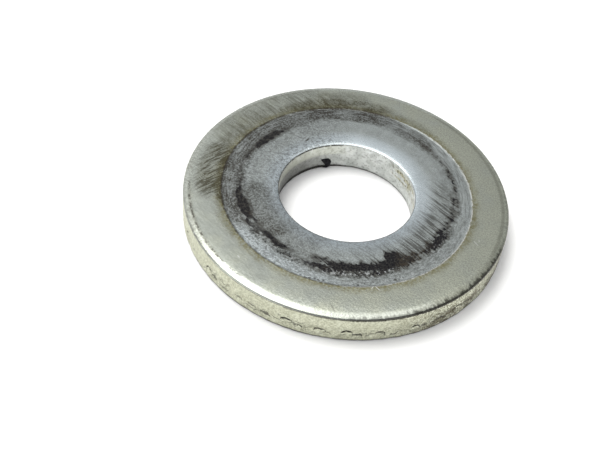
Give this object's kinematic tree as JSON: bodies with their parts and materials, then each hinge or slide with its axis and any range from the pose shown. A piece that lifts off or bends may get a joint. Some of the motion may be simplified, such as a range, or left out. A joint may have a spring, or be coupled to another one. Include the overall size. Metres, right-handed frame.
{
  "type": "flat washer",
  "caption": "Thick round flat washer in zinc-plated steel, with rolled upper edges, a plain bolt hole and a shallow pressed seat ring.",
  "frame": {"origin": "centre of the lower (break-out side) face, on the bore axis", "axes": "+Z along the bore axis, out of the upper (die-roll side) face that the bolt head or nut seats on; +X and +Y are free, because the shape is turned"},
  "size_m": [0.025, 0.025, 0.0025],
  "materials": {
    "zinc_plated_steel": "bright zinc plating with a faint yellow-green passivation, scuffed and greasy where a bolt flange turned on it"
  },
  "bodies": {
    "root": {"washer": "zinc_plated_steel"}
  },
  "joints": []
}
